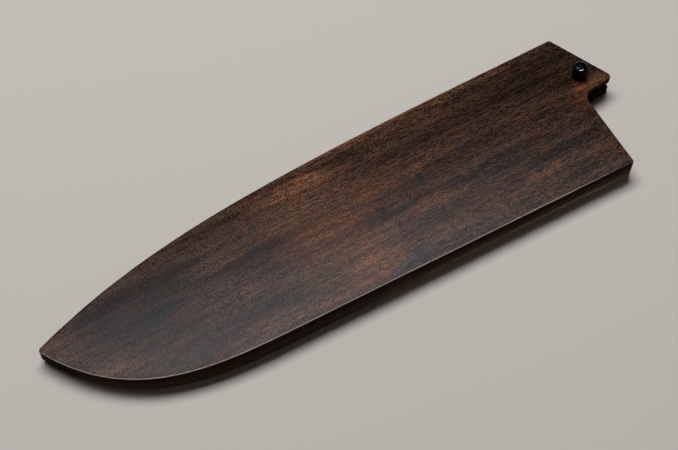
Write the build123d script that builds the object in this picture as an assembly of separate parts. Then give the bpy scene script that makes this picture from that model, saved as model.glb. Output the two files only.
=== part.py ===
from build123d import *
import math
import os

# Knife blade guard: a flat wooden sheath of two face boards with a middle
# layer of strips glued between them. The strips leave a slot in the shape of
# the blade, and a tapered pin through the tab locks the knife in.
# X runs toward the knife's handle, Y toward the blade's spine, and Z up from
# the back face. Lengths are in millimetres and angles in degrees.

# Outline, measured from the corner where the spine ends at the mouth
spine_length = 201.7
heel_width = 55.3
edge_taper = 1.4
tab_reach = 10.3
tab_depth = 23.5
notch_depth = 24.8
notch_setback = 2.7
heel_setback = 4.0

# Front of the outline: where each side stops being straight, and the tip
straight_spine = 30.0
straight_edge = 120.0
tip_drop = 17.9
spine_tip_angle = 20.0
edge_tip_angle = 62.9
spine_bow_shares = (0.512, 0.248)
edge_bow_shares = (0.389, 0.437)

# Corner radii, seen from the front
spine_corner_radius = 0.8
beak_radius = 1.4
notch_radius = 3.4
heel_corner_radius = 0.6
tip_radius = 1.2

# Layers, and how both boards are planed thinner toward the tip
board_thickness = 3.4
blade_gap = 2.5
planed_length = 75.0
tip_planing = 1.9
arris_radius = 0.5
mouth_easing = 0.6

# Wood left round the blade
spine_wall = 4.5
edge_wall = 4.2
tip_wall = 10.5
slot_tip_radius = 1.5

# Slanted glue joints between the strips
spine_scarf_place = 58.0
edge_scarf_place = 104.0
scarf_angle = 28.0

# Locking pin and the tapered hole that it seats in
pin_drop = 17.4
pin_reach = 0.4
hole_diameter = 5.2
hole_taper = 1.5
hole_easing = 0.3
pin_clearance = 0.04
pin_proud = 5.2
pin_dome = 0.8
pin_edge_radius = 1.7
pin_recess = 0.5
pin_tail_easing = 0.4

# How far a cut runs past what it cuts
overrun = 5.0

sheath_thickness = board_thickness + blade_gap + board_thickness
spine_corner = Vector(0, 0)
beak_corner = Vector(tab_reach, -tab_depth)
notch_corner = Vector(-notch_setback, -notch_depth)
outer_tip = Vector(-spine_length, -tip_drop)


def edge_point(x, wall=0.0):
    """A point on the straight cutting-edge side, or inside it by a wall."""
    closing = -x * math.tan(math.radians(edge_taper))
    return Vector(x, closing - heel_width + wall)


def point_at_height(start, end, y):
    """The point of a straight side at one distance from the spine."""
    share = (y - start.Y) / (end.Y - start.Y)
    return start + (end - start) * share


def front_curve(start, leaving, tip, tip_angle, bow_shares):
    """A long bow from a straight side to the tip, met at the tip's angle."""
    run = (tip - start).length
    arriving = Vector(1, 0).rotate(Axis.Z, tip_angle)
    leaving_handle = start + leaving.normalized() * run * bow_shares[0]
    arriving_handle = tip + arriving * run * bow_shares[1]
    return Bezier(start, leaving_handle, arriving_handle, tip)


def front_curves(spine_y, wall, tip):
    """The two curves that close the front, for the outside or for the slot."""
    spine_start = Vector(-straight_spine, spine_y)
    edge_start = edge_point(-straight_edge, wall)
    edge_line = edge_start - edge_point(-heel_setback, wall)
    spine_curve = front_curve(spine_start, Vector(-1, 0), tip, spine_tip_angle, spine_bow_shares)
    edge_curve = front_curve(edge_start, edge_line, tip, -edge_tip_angle, edge_bow_shares)
    return spine_curve, edge_curve


def round_front(solid, radius):
    """Round the upright edge at the tip."""
    upright_edges = solid.edges().filter_by(Axis.Z)
    return fillet(upright_edges.sort_by(Axis.X)[0], radius)


def sheath_layer(floor, thickness):
    """One full layer of the sheath, from its floor up."""
    spine_curve, edge_curve = front_curves(0, 0, outer_tip)
    mouth_side = FilletPolyline(
        Vector(-straight_spine, 0),
        spine_corner,
        beak_corner,
        notch_corner,
        edge_point(-heel_setback),
        edge_point(-straight_edge),
        radius=[spine_corner_radius, beak_radius, notch_radius, heel_corner_radius],
    )
    outline = make_face([*mouth_side.edges(), edge_curve, spine_curve])
    layer = extrude(outline, thickness, dir=(0, 0, 1))
    return Pos(0, 0, floor) * round_front(layer, tip_radius)


def blade_slot():
    """The blade-shaped space, run out past the mouth."""
    spine_curve, edge_curve = front_curves(-spine_wall, edge_wall, slot_tip)
    past_mouth = tab_reach + overrun
    mouth_side = Polyline(
        Vector(-straight_spine, -spine_wall),
        Vector(past_mouth, -spine_wall),
        edge_point(past_mouth, edge_wall),
        edge_point(-straight_edge, edge_wall),
    )
    outline = make_face([*mouth_side.edges(), edge_curve, spine_curve])
    slot = extrude(outline, blade_gap, dir=(0, 0, 1))
    return Pos(0, 0, board_thickness) * round_front(slot, slot_tip_radius)


def easing_along_mouth(height):
    """A thin square bar, on its corner, along the open stretch of the mouth."""
    path = FilletPolyline(
        point_at_height(spine_corner, beak_corner, -spine_wall),
        beak_corner,
        notch_corner,
        point_at_height(notch_corner, edge_point(-heel_setback), slot_heel.Y),
        radius=[beak_radius, notch_radius],
    )
    path = Pos(0, 0, height) * path
    section = Plane(origin=path @ 0, z_dir=path % 0) * Rectangle(
        mouth_easing * math.sqrt(2), mouth_easing * math.sqrt(2), rotation=45
    )
    return sweep(section, path)


def radius_at(height, clearance=0.0):
    """The tapered hole's radius at a height above the back face."""
    narrowing = (sheath_thickness - height) * math.tan(math.radians(hole_taper))
    return hole_diameter / 2 - narrowing - clearance


def pin_hole():
    """The tapered hole through all layers, run out past both faces."""
    low = -overrun
    high = sheath_thickness + overrun
    profile = Polyline((0, low), (radius_at(low), low), (radius_at(high), high), (0, high), close=True)
    return pin_place * revolve(Plane.XZ * make_face(profile), Axis.Z)


def planed_off(faces_front):
    """What the plane took off a board's show face, along a long shallow arc."""
    reach = planed_length + overrun
    bow_radius = planed_length ** 2 / (2 * tip_planing)
    drop = bow_radius - math.sqrt(bow_radius ** 2 - reach ** 2)
    arc = RadiusArc((0, 0), (-reach, -drop), -bow_radius)
    air = Polyline((-reach, -drop), (-reach, overrun), (0, overrun), (0, 0))
    section = Plane.XZ * make_face([*arc.edges(), *air.edges()])
    cut = Pos(planed_length - spine_length, 0, sheath_thickness) * extrude(section, 2 * heel_width, both=True)
    return cut if faces_front else mirror(cut, Plane.XY.offset(sheath_thickness / 2))


def arrises(board, faces_front):
    """The edges round the board's show face, flat part and planed part."""
    level_edges = board.edges().filter_by(Axis.Z, reverse=True)
    inner_height = board.bounding_box().min.Z if faces_front else board.bounding_box().max.Z
    show_edges = level_edges.filter_by(lambda edge: abs(edge.center().Z - inner_height) > arris_radius)
    return show_edges.filter_by(Axis.Y, reverse=True)


def outer_face(board, faces_front):
    """The show face's flat part: the front board's top, the back board's floor."""
    faces = board.faces().sort_by(Axis.Z)
    return faces[-1] if faces_front else faces[0]


def face_board(floor, faces_front):
    """A face board with its outer arrises rounded and its mouth eased."""
    board = sheath_layer(floor, board_thickness) - planed_off(faces_front)
    board = fillet(arrises(board, faces_front), arris_radius)
    board -= easing_along_mouth(floor if faces_front else floor + board_thickness)
    board -= pin_hole()
    rim = outer_face(board, faces_front).inner_wires()[0]
    return chamfer(rim.edges(), hole_easing)


def halves(solid, point, along):
    """A solid's two sides of an upright cut through a point, left one first."""
    cut = Plane(origin=point, x_dir=along, z_dir=along.rotate(Axis.Z, 90))
    return split(solid, bisect_by=cut, keep=Keep.TOP), split(solid, bisect_by=cut, keep=Keep.BOTTOM)


def middle_strips():
    """The four strips that leave the blade's slot between them."""
    middle = sheath_layer(board_thickness, blade_gap) - blade_slot()
    spine_side, edge_side = halves(middle, slot_tip, Vector(1, 0))
    scarf = Vector(1, 0).rotate(Axis.Z, scarf_angle)
    nose, spine = halves(spine_side, Vector(-spine_scarf_place, -spine_wall / 2), scarf)
    belly, edge = halves(edge_side, edge_point(-edge_scarf_place, edge_wall / 2), scarf)
    return {
        "spine_strip": spine,
        "nose_strip": nose,
        "edge_strip": edge,
        "belly_strip": belly,
    }


def locking_pin():
    """A tapered dowel with a rounded head, a low dome and an eased tail."""
    top = sheath_thickness + pin_proud
    shoulder = top - pin_dome
    head_radius = radius_at(shoulder, pin_clearance)
    tail_radius = radius_at(pin_recess, pin_clearance)
    dome_radius = (head_radius ** 2 + pin_dome ** 2) / (2 * pin_dome)
    side = Polyline(
        (0, top),
        (0, pin_recess),
        (tail_radius - pin_tail_easing, pin_recess),
        (tail_radius, pin_recess + pin_tail_easing),
        (head_radius, shoulder),
    )
    dome = RadiusArc((head_radius, shoulder), (0, top), -dome_radius)
    profile = make_face([*side.edges(), dome])
    profile = fillet(profile.vertices().sort_by(Axis.X)[-1], pin_edge_radius)
    return pin_place * revolve(Plane.XZ * profile, Axis.Z)


tip_bisector = Vector(1, 0).rotate(Axis.Z, (spine_tip_angle - edge_tip_angle) / 2)
slot_tip = outer_tip + tip_bisector * tip_wall
slot_heel = edge_point(-heel_setback, edge_wall)
pin_place = Pos(pin_reach, -pin_drop, 0)

parts = {
    "front_board": face_board(board_thickness + blade_gap, faces_front=True),
    "back_board": face_board(0, faces_front=False),
    **middle_strips(),
    "locking_pin": locking_pin(),
}

# The origin is the middle of the footprint, on the back face.
footprint = Compound(list(parts.values())).bounding_box().center()
to_origin = Pos(-footprint.X, -footprint.Y, 0)

os.makedirs("parts", exist_ok=True)
for name, solid in parts.items():
    export_step(to_origin * solid, f"parts/{name}.step")
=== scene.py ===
import bpy
import math
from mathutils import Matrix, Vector


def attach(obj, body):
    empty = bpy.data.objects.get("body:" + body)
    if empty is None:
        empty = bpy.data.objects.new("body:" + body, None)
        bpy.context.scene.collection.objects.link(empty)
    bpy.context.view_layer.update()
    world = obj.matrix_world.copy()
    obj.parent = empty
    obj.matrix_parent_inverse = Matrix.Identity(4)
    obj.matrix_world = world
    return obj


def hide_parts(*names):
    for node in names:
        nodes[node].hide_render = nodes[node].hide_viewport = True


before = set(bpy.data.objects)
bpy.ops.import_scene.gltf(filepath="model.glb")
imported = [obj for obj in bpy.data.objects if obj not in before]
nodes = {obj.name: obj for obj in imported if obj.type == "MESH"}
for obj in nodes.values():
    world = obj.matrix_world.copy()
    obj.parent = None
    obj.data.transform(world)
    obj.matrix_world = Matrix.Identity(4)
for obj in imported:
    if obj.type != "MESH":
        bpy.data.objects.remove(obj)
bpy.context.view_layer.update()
mm = 0.001
print("frame loaded,", len(nodes), "nodes")


# hex colours are sRGB, the shaders work in linear light
def linearColour(hexText):
    shares = [int(hexText[i:i + 2], 16) / 255 for i in (1, 3, 5)]
    linear = [c / 12.92 if c <= 0.04045 else ((c + 0.055) / 1.055) ** 2.4 for c in shares]
    return (*linear, 1.0)


# fills a node's inputs, by name or in their order, with values, sockets or other nodes
def fillInputs(tree, node, inputs):
    if isinstance(inputs, dict):
        filled = [(node.inputs[name], value) for name, value in inputs.items()]
    else:
        filled = zip([socket for socket in node.inputs if socket.enabled], inputs)
    for socket, value in filled:
        if isinstance(value, bpy.types.Node):
            value = next(output for output in value.outputs if output.enabled)
        if isinstance(value, bpy.types.NodeSocket):
            tree.links.new(value, socket)
        else:
            socket.default_value = value


def addNode(tree, kind, inputs=(), **settings):
    node = tree.nodes.new("ShaderNode" + kind)
    for name, value in settings.items():
        setattr(node, name, value)
    fillInputs(tree, node, inputs)
    return node


def newMaterial(name):
    material = bpy.data.materials.new(name)
    material.use_nodes = True
    return material, material.node_tree, material.node_tree.nodes["Principled BSDF"]


# every noise has a size along the grain, a size across it, both in millimetres, and its detail
noiseRoughness = 0.6


def stretchedNoise(tree, place, along, across, detail):
    scaled = addNode(tree, "VectorMath", (place, (1 / along, 1 / across, 1 / across)), operation="MULTIPLY")
    return addNode(tree, "TexNoise", {"Vector": scaled, "Scale": 1.0, "Detail": detail,
                                      "Roughness": noiseRoughness})


# pushes a place about by a noise, one sway for each axis
def swayed(tree, place, noise, sway):
    field = stretchedNoise(tree, place, *noise).outputs["Color"]
    centred = addNode(tree, "VectorMath", (field, (0.5, 0.5, 0.5)), operation="SUBTRACT")
    reach = [2 * distance for distance in sway]
    return addNode(tree, "VectorMath", (centred, reach, place), operation="MULTIPLY_ADD")


# smooth fades multiplied into one mask. Each names what it goes by, where it starts and ends,
# and its value at the start and at the end
def fadeMask(tree, measures, *fades):
    mask = 1.0
    for name, start, end, first, last in fades:
        fade = addNode(tree, "MapRange", (measures[name], start, end, first, last),
                       interpolation_type="SMOOTHSTEP")
        mask = addNode(tree, "Math", (mask, fade), operation="MULTIPLY")
    return mask


# American black walnut, planed and sanded along the grain: straight fibres, broad soft bands
# and open pores. Each layer has its noise, how much of that is cut off at each end, and its
# share of the tone. Real fibres are finer, and cell mouths far too fine to show, so they are
# drawn as coarse as the render needs
grainLayers = {
    "figure": ((90.0, 6.0, 3.0), 0.3, 0.20),     # broad dark and light bands
    "streak": ((48.0, 1.7, 3.0), 0.3, 0.24),
    "grit": ((0.45, 0.36, 1.0), 0.34, 0.55),     # sparkle of the cell mouths
    "fibre": ((16.0, 0.6, 2.0), 0.3, 1.0),
    "fleck": ((2.2, 0.34, 2.0), 0.32, 2.0),      # torn fibre ends
}
grain = {
    "sways": (((45.0, 22.5, 2.0), (0, 1.6, 1.6)), ((9.0, 4.5, 2.0), (0, 0.22, 0.22))),
    "boldness": ("x", -90, 70, 0.11, 0.26),      # fibres stand out more toward the mouth than at the tip
    "stops": ((0.18, "#160d07"), (0.5, "#38251a"), (0.85, "#5f4330")),
    "pores": (5.0, 0.5, 1.0),                    # real ones are 0.2 wide
    "poreEnds": ("noise", 0.40, 0.26, 0, 1),
    "poreColour": "#0e0906",
    "poreShare": 0.7,
}

# dark water stain under one coat of oil: patchy colour and a low sheen that fills no pores,
# colours as they are before any light falls on them
stain = {
    "tints": {"warm": (2.95, 2.65, 2.1), "dark": (0.42, 0.42, 0.42), "grey": (0.5, 0.7, 1.35)},
    "rust": "#583218",
    "feather": ((16, 5, 2.0), (9, 2.4, 0)),      # how the patches' outlines sway
    "patchRim": (1.4, 0.4),                      # shares of a patch's size where it starts and is full
    "blushes": (5.0, 2.6, 3.0),
    "blush": ((1.0, 0.5, 1.1), (0.5, 0.75, 0.45)),
}

# side faces are darker than the top, partly a heavier stain and partly painted shade; the cutting-edge side
# grows paler toward the bottom, with a paler band low down toward the mouth, painted bounce light from the
# floor
sides = {
    "grain": (("fibres", 0.5, 2.5, 0.7, 1.3), ("x", -60, 100, 0.85, 1.6)),
    "tints": (
        # darker side faces: partly heavier stain, partly painted shade
        ("#17100b", (("flatness", 0.45, 0.2, 0, 0.85),)),
        # painted bounce light: the cutting-edge side paler toward the bottom
        ("#4d3b2b", (("flatness", 0.45, 0.2, 0, 1), ("y", 0, -8, 0, 1), ("z", 8.5, 1.0, 0, 1))),
        # painted bounce light: a paler band low on the cutting-edge side, toward the mouth
        ("#7f6e5e", (("flatness", 0.45, 0.2, 0, 1), ("y", 0, -8, 0, 1), ("z", 3.4, 1.6, 0, 1),
                     ("x", -20, 30, 0, 1))),
    ),
}

# painted highlight: the arrises toward the cutting edge are painted pale, on top of the lamps' own highlight
# on them
arris = {
    "colour": "#d6c3b7",
    "places": (("flatness", 0.45, 0.75, 0, 1), ("flatness", 0.975, 0.91, 0, 1),
               ("normalY", -0.05, -0.3, 0, 0.7), ("x", 100, 55, 0, 1)),
}

# painted sheen: the sheen's strength is highest low at the front and fades along x + 6 y, following where
# the softbox's reflection falls, and it hardly shows on the side faces, painted shade that keeps them dark
finish = {
    "slant": 6.0,
    "sheen": (("slant", -200, 160, 0.105, 0.0105), ("flatness", 0.45, 0.2, 1, 0.03)),
    "ior": 1.5,
    "roughness": 0.26,
    "fibreRoughness": 0.12,
    "fibreRelief": 0.5,
    "poreRelief": -0.6,
    "bump": 0.35,
    "bumpHeight": 0.08,
}

# where the stain took warmer, darker, greyer or rustier on the front board:
# middle x, y, half length, half width, strength
patches = {
    "warm": (
        (-6, -2, 22, 24, 0.42),
        (0, -22, 90, 6, 0.3),
        (-99, 5, 8, 5, 0.25),
        (-90, -8, 10, 6, 0.3),
        (-45, 8.5, 10, 2.5, 0.3),
        (-38, -6, 13, 2.5, 0.35),
        (-10, 19, 13, 3.5, 0.7),
        (16, 7, 9, 2.5, 0.4),
        (-9, 0.5, 12, 5.5, 1.0),
        (6, 6, 14, 3.0, 0.5),
        (23, 5.5, 9, 3, 0.35),
        (-8, -10, 12, 4.0, 0.3),
        (-2, -18, 14, 5.0, 1.0),
        (27, -7, 14, 2.0, 0.5),
        (33, 9.5, 5, 2.0, 0.3),
        (65, -16, 9, 2.5, 0.4),
        (38, 26.5, 60, 1.6, 0.45),
        (98, 4.5, 9, 4, 0.72),
    ),
    "dark": (
        (-76, 6, 22, 9, 0.7),
        (88, 18, 36, 10, 0.75),
        (-70, 11.5, 24, 2.6, 0.8),
        (-38, 4.2, 22, 2.6, 0.8),
        (-64, -7, 8, 2.2, 0.6),
        (-72, -3, 16, 6, 0.45),
        (56, 15, 40, 5, 0.5),
        (-18, -12, 18, 1.2, 0.3),
        (37, 14.5, 36, 1.6, 0.8),
        (11, 21.5, 6, 3, 0.6),
        (84, 19.5, 16, 3.2, 0.9),
        (80, 12.5, 16, 1.6, 0.7),
        (8, -4.2, 9, 2.4, 0.7),
        (52, -4.2, 42, 1.0, 0.6),
        (74, -11, 18, 2.0, 0.7),
        (55, 5, 12, 2.2, 0.5),
        (76, -21, 8, 2.0, 0.6),
    ),
    "grey": (
        (-70, 0.5, 10, 3.0, 1.0),
        (-84, 9, 10, 3.0, 0.5),
        (12, -22, 10, 3.0, 1.0),
        (28, -23, 22, 2.6, 0.45),
        (12, -8, 6, 5, 0.3),
    ),
    "rust": (
        (-10, 1, 15, 8, 0.35),
        (10, 7, 14, 6, 0.3),
        (-2, -19, 14, 5, 0.2),
        (97, 3.5, 9, 6, 0.45),
    ),
}


# soft patches of one kind as one mask from 0 to 1
def patchMask(tree, place, kind):
    mask = 0.0
    for x, y, halfLength, halfWidth, strength in patches[kind]:
        centred = addNode(tree, "VectorMath", (place, (x, y, 0)), operation="SUBTRACT")
        scaled = addNode(tree, "VectorMath", (centred, (1 / halfLength, 1 / halfWidth, 0)),
                         operation="MULTIPLY")
        measures = {"reach": addNode(tree, "VectorMath", (scaled,), operation="LENGTH")}
        patch = fadeMask(tree, measures, ("reach", *stain["patchRim"], 0, strength))
        mask = addNode(tree, "Math", (mask, patch), operation="MAXIMUM")
    return mask


# the tone at each place, its fibres alone, and the noise that the fibres come from
def grainTones(tree, local, bent, measures):
    noises = {}
    crisp = {}
    for name, (noise, cut, share) in grainLayers.items():
        noises[name] = stretchedNoise(tree, local if name == "grit" else bent, *noise)
        crisp[name] = fadeMask(tree, noises, (name, cut, 1 - cut, 0, share))
    fibres = addNode(tree, "Math", (crisp["fleck"], crisp["fibre"]), operation="ADD")
    middle = (grainLayers["fleck"][-1] + grainLayers["fibre"][-1]) / 2
    tone = addNode(tree, "Math", (fibres, middle), operation="SUBTRACT")
    tone = addNode(tree, "Math", (tone, fadeMask(tree, measures, grain["boldness"])), operation="MULTIPLY")
    for name in ("figure", "streak", "grit"):
        tone = addNode(tree, "Math", (tone, crisp[name]), operation="ADD")
    return tone, fibres, noises["fibre"]


def grainColour(tree, tone):
    ramp = addNode(tree, "ValToRGB", (tone,))
    ramp.color_ramp.elements.new(0.5)
    for element, (position, colour) in zip(ramp.color_ramp.elements, grain["stops"]):
        element.position = position
        element.color = linearColour(colour)
    return ramp.outputs["Color"]


# the stain's patches, those of rust hide some of the grain
def patchedColour(tree, local, colour):
    feathered = swayed(tree, local, *stain["feather"])
    for kind, tint in stain["tints"].items():
        stained = addNode(tree, "VectorMath", (colour, tint), operation="MULTIPLY")
        colour = addNode(tree, "Mix", (patchMask(tree, feathered, kind), colour, stained), data_type="RGBA")
    return addNode(tree, "Mix", (patchMask(tree, feathered, "rust"), colour, linearColour(stain["rust"])),
                   data_type="RGBA")


# side faces get their darker colour, partly painted shade, the cutting-edge side its painted bounce light,
# and the arrises their painted highlight
def sideColoursAndPaintedLight(tree, measures, colour):
    streaky = fadeMask(tree, measures, *sides["grain"])
    for tint, places in sides["tints"]:
        grained = addNode(tree, "VectorMath", (streaky, linearColour(tint)[:3]), operation="MULTIPLY")
        colour = addNode(tree, "Mix", (fadeMask(tree, measures, *places), colour, grained), data_type="RGBA")
    # painted highlight on the arrises toward the cutting edge
    return addNode(tree, "Mix", (fadeMask(tree, measures, *arris["places"]), colour,
                                 linearColour(arris["colour"])), data_type="RGBA")


def stainedWalnut(name, shift, lean, patchy=False):
    material, tree, shader = newMaterial(name)
    coordinates = addNode(tree, "TexCoord")
    local = addNode(tree, "Mapping", {"Vector": coordinates.outputs["Object"], "Scale": [1 / mm] * 3})
    bent = addNode(tree, "Mapping", {"Vector": local, "Location": shift,
                                     "Rotation": (0, 0, math.radians(lean))})
    for noise, sway in grain["sways"]:
        bent = swayed(tree, bent, noise, sway)

    spot = addNode(tree, "SeparateXYZ", (local,))
    facing = addNode(tree, "SeparateXYZ", (coordinates.outputs["Normal"],))
    measures = {
        "x": spot.outputs["X"],
        "y": spot.outputs["Y"],
        "z": spot.outputs["Z"],
        "normalY": facing.outputs["Y"],
        "flatness": addNode(tree, "Math", (facing.outputs["Z"],), operation="ABSOLUTE"),
        "slant": addNode(tree, "Math", (spot.outputs["Y"], finish["slant"], spot.outputs["X"]),
                         operation="MULTIPLY_ADD"),
    }
    tone, fibres, fibreNoise = grainTones(tree, local, bent, measures)
    measures["fibres"] = fibres
    colour = grainColour(tree, tone)
    if patchy:
        colour = patchedColour(tree, local, colour)

    # the stain took a little redder or greener from spot to spot
    spread = stretchedNoise(tree, local, *stain["blushes"]).outputs["Color"]
    blush = addNode(tree, "VectorMath", (spread, *stain["blush"]), operation="MULTIPLY_ADD")
    colour = addNode(tree, "VectorMath", (colour, blush), operation="MULTIPLY")

    # open pores, short dark dashes along the grain
    pore = fadeMask(tree, {"noise": stretchedNoise(tree, bent, *grain["pores"])}, grain["poreEnds"])
    share = addNode(tree, "Math", (pore, grain["poreShare"]), operation="MULTIPLY")
    colour = addNode(tree, "Mix", (share, colour, linearColour(grain["poreColour"])), data_type="RGBA")
    colour = sideColoursAndPaintedLight(tree, measures, colour)

    roughness = addNode(tree, "Math", (fibreNoise, finish["fibreRoughness"], finish["roughness"]),
                        operation="MULTIPLY_ADD")
    relief = addNode(tree, "Math", (fibreNoise, finish["fibreRelief"]), operation="MULTIPLY")
    relief = addNode(tree, "Math", (pore, finish["poreRelief"], relief), operation="MULTIPLY_ADD")
    bump = addNode(tree, "Bump", {"Strength": finish["bump"], "Distance": finish["bumpHeight"] * mm,
                                  "Height": relief})
    fillInputs(tree, shader, {
        "Base Color": colour,
        "Roughness": roughness,
        "IOR": finish["ior"],
        # painted sheen: its strength follows where the softbox's reflection falls
        "Specular IOR Level": fadeMask(tree, measures, *finish["sheen"]),
        "Normal": bump,
    })
    return material


# black buffalo horn, turned and buffed on the head: almost black with a small bright highlight,
# faint growth lines run up the pin and fine scratches dull it here and there
horn = {
    "deep": "#050609",
    "pale": "#0c1018",
    "lines": (14.0, 0.35, 3.0),
    "lineSway": ((6, 2, 2.0), (0, 0.4, 0.4)),
    "lineEnds": ("line", 0.45, 0.7, 0, 1),
    "scratches": (5.0, 0.12, 2.0), # real ones are finer, drawn as wide as the render can show
    "roughness": (0.03, 0.09),
    "edge": (("up", 0.8, 0.65, 0, 1), ("up", 0.03, 0.25, 0, 1)),
    "edgeRoughness": 0.35,         # the head's edge is rougher and less glossy, painted dulling that keeps the floor's reflection off its rim
    "edgeDulling": -0.8,
    # painted dulling: the sheen is low on the pin's side and nearly off on the crest, which keeps the wood's
    # and the softbox's reflections from showing there
    "sheen": (("up", 0.03, 0.25, 0.052, 0.26), ("up", 0.925, 0.945, 1, 0.04)),
    "ior": 1.54,
    "bump": 0.1,
    "bumpHeight": 0.02,
}


def polishedHorn():
    material, tree, shader = newMaterial("polishedBlackHorn")
    coordinates = addNode(tree, "TexCoord")
    along = addNode(tree, "Mapping", {"Vector": coordinates.outputs["Object"], "Scale": [1 / mm] * 3,
                                      "Rotation": (0, math.pi / 2, 0)})
    scratches = stretchedNoise(tree, along, *horn["scratches"])
    facing = addNode(tree, "SeparateXYZ", (coordinates.outputs["Normal"],))
    measures = {
        "line": stretchedNoise(tree, swayed(tree, along, *horn["lineSway"]), *horn["lines"]),
        "up": facing.outputs["Z"],
    }
    colour = addNode(tree, "Mix", (fadeMask(tree, measures, horn["lineEnds"]), linearColour(horn["deep"]),
                                   linearColour(horn["pale"])), data_type="RGBA")
    edge = fadeMask(tree, measures, *horn["edge"])
    # painted dulling of the head's edge
    buffed = addNode(tree, "Math", (edge, horn["edgeDulling"], 1.0), operation="MULTIPLY_ADD")
    gloss = addNode(tree, "Math", (fadeMask(tree, measures, *horn["sheen"]), buffed), operation="MULTIPLY")
    polished = addNode(tree, "MapRange", (scratches, 0, 1, *horn["roughness"]))
    roughness = addNode(tree, "Math", (edge, horn["edgeRoughness"], polished), operation="MULTIPLY_ADD")
    bump = addNode(tree, "Bump", {"Strength": horn["bump"], "Distance": horn["bumpHeight"] * mm,
                                  "Height": scratches})
    fillInputs(tree, shader, {
        "Base Color": colour,
        "Roughness": roughness,
        "IOR": horn["ior"],
        "Specular IOR Level": gloss,
        "Normal": bump,
    })
    return material


# each piece of wood is cut from another place and at another angle: millimetres and degrees
cuts = {
    "front_board": ("stainedWalnutFront", (0, 0, 0), 0.6),
    "back_board": ("stainedWalnutBack", (310, 47, 20), -0.8),
    "spine_strip": ("stainedWalnutSpineStrip", (-170, 80, 6), 0.4),
    "nose_strip": ("stainedWalnutNoseStrip", (90, -60, 33), 4.0),
    "belly_strip": ("stainedWalnutBellyStrip", (520, 25, -14), -7.0),
    "edge_strip": ("stainedWalnutEdgeStrip", (-60, -140, 52), 1.4),
}
materials = {name: stainedWalnut(*cut, patchy=name == "front_board") for name, cut in cuts.items()}
materials["locking_pin"] = polishedHorn()
for name, material in materials.items():
    nodes[name].data.materials.clear()
    nodes[name].data.materials.append(material)
print("materials made")

# the front board's show face is planed a little rounder toward its outline, in millimetres
crown = {
    "cutSpacing": (3.0, 1.5),
    "reach": 7.0,
    "drop": 0.2,
    "gluedSkin": 0.4,              # what stays as it is above the glued face
    "arrisNormals": (0.3, 0.96),   # upward share of the normal on the arris
    "smoothAngle": 40.0,
    "weld": 0.001,
}


def openForEditing(piece):
    bpy.ops.object.select_all(action="DESELECT")
    piece.select_set(True)
    bpy.context.view_layer.objects.active = piece
    bpy.ops.object.mode_set(mode="EDIT")
    bpy.context.tool_settings.mesh_select_mode = (True, False, False)


def cutInto(axis, low, high, spacing):
    count = int((high - low) / spacing)
    for step in range(1, count):
        place = Vector((0, 0, 0))
        place[axis] = low + step * (high - low) / count
        normal = Vector((0, 0, 0))
        normal[axis] = 1
        bpy.ops.mesh.select_all(action="SELECT")
        bpy.ops.mesh.bisect(plane_co=place, plane_no=normal)


def crownedFrontBoard():
    source = nodes["front_board"]
    board = bpy.data.objects.new("frontBoard", source.data.copy())
    bpy.context.scene.collection.objects.link(board)
    corners = [vertex.co for vertex in board.data.vertices]
    lows = [min(corner[axis] for corner in corners) for axis in range(3)]
    highs = [max(corner[axis] for corner in corners) for axis in range(3)]
    openForEditing(board)
    bpy.ops.mesh.select_all(action="SELECT")
    bpy.ops.mesh.remove_doubles(threshold=crown["weld"] * mm)
    bpy.ops.mesh.customdata_custom_splitnormals_clear()
    for axis, spacing in enumerate(crown["cutSpacing"]):
        cutInto(axis, lows[axis], highs[axis], spacing * mm)

    # only the show face and its arris move, the glued face stays flat
    bpy.ops.object.mode_set(mode="OBJECT")
    gluedTop = lows[2] + crown["gluedSkin"] * mm
    steepest, flattest = crown["arrisNormals"]
    for vertex in board.data.vertices:
        onArris = steepest < vertex.normal.z < flattest
        vertex.select = vertex.co.z > gluedTop and onArris
        vertex.hide = vertex.co.z <= gluedTop
    bpy.ops.object.mode_set(mode="EDIT")
    bpy.ops.transform.translate(value=(0, 0, -crown["drop"] * mm), use_proportional_edit=True,
                                proportional_edit_falloff="SMOOTH", proportional_size=crown["reach"] * mm)
    bpy.ops.mesh.reveal(select=False)
    bpy.ops.object.mode_set(mode="OBJECT")
    bpy.ops.object.shade_smooth_by_angle(angle=math.radians(crown["smoothAngle"]))
    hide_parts("front_board")
    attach(board, "sheath")
    return board


board = crownedFrontBoard()
print("front board crowned,", len(board.data.vertices), "points")

# studio: camera in millimetres and degrees, as it stood for the photograph
camera = {
    "azimuth": -30.3,
    "elevation": 60.0,
    "distance": 451.6,
    "aim": (-4.32, 0.39, 9.3),
    "lens": 75.0,
    "sensor": 36.0,
    "nearest": 10.0,
}


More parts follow.
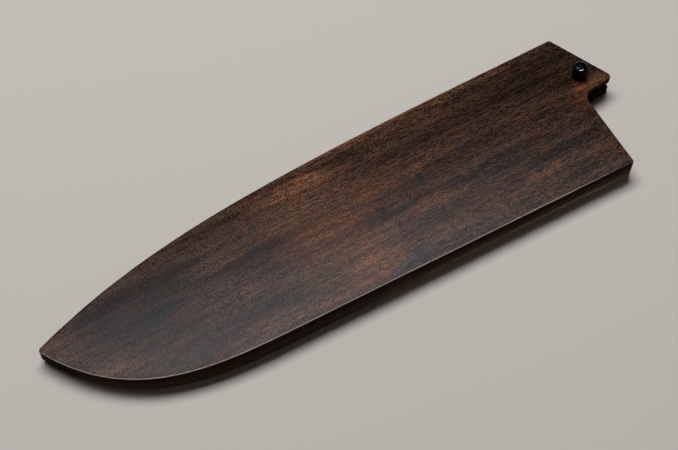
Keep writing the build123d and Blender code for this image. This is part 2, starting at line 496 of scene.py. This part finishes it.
def addCamera():
    turn = math.radians(camera["azimuth"])
    tilt = math.radians(camera["elevation"])
    ahead = Vector((-math.sin(turn) * math.cos(tilt), math.cos(turn) * math.cos(tilt), -math.sin(tilt)))
    place = (Vector(camera["aim"]) - ahead * camera["distance"]) * mm
    bpy.ops.object.camera_add(location=place, rotation=(math.pi / 2 - tilt, 0, turn))
    view = bpy.context.object
    view.data.lens = camera["lens"]
    view.data.sensor_width = camera["sensor"]
    view.data.clip_start = camera["nearest"] * mm
    bpy.context.scene.camera = view


# matt off-white board, so evenly pale that only the sheath's shadow shows on it
floorBoard = {
    "size": 6,                     # metres
    "colour": "#d2c9ba",
    "roughness": 0.95,
}


def addFloor():
    bpy.ops.mesh.primitive_plane_add(size=floorBoard["size"], location=(0, 0, 0))
    floor = bpy.context.object
    floor.name = "floor"
    material, tree, shader = newMaterial("paleFloor")
    fillInputs(tree, shader, {
        "Base Color": linearColour(floorBoard["colour"]),
        "Roughness": floorBoard["roughness"],
        "Specular IOR Level": 0.0,
    })
    floor.data.materials.append(material)


# place and size in metres, power in watts, colour, and whether it lights matt surfaces:
# the strip only puts the highlight on polished ones
softboxes = {
    "softbox": ((0.08, 0.43, 1.09), (0.90, 0.46), 14.0, "#f1f3ff", True),
    "stripLight": ((-0.02, -0.37, 1.0), (0.86, 0.12), 23.0, "#f1f3ff", False),
}


def addSoftboxes():
    for name, (place, size, watts, colour, lightsMatt) in softboxes.items():
        bpy.ops.object.light_add(type="AREA", location=place)
        lamp = bpy.context.object
        lamp.name = name
        lamp.data.shape = "RECTANGLE"
        lamp.data.size, lamp.data.size_y = size
        lamp.data.energy = watts
        lamp.data.color = linearColour(colour)[:3]
        lamp.rotation_euler = (-Vector(place)).to_track_quat("-Z", "Y").to_euler()
        lamp.visible_diffuse = lightsMatt


# the room is almost dark, but the camera sees a pale backdrop in it
room = {
    "colour": "#e4e6ea",
    "light": 0.05,
    "backdrop": 0.95,
}


def addWorld():
    world = bpy.data.worlds.new("studio")
    bpy.context.scene.world = world
    world.use_nodes = True
    tree = world.node_tree
    rays = addNode(tree, "LightPath")
    strength = addNode(tree, "MapRange", {"Value": rays.outputs["Is Camera Ray"], "To Min": room["light"],
                                          "To Max": room["backdrop"]})
    fillInputs(tree, tree.nodes["Background"], {"Color": linearColour(room["colour"]), "Strength": strength})


addCamera()
addFloor()
addSoftboxes()
addWorld()
bpy.context.scene.view_settings.view_transform = "Standard"
print("studio ready")
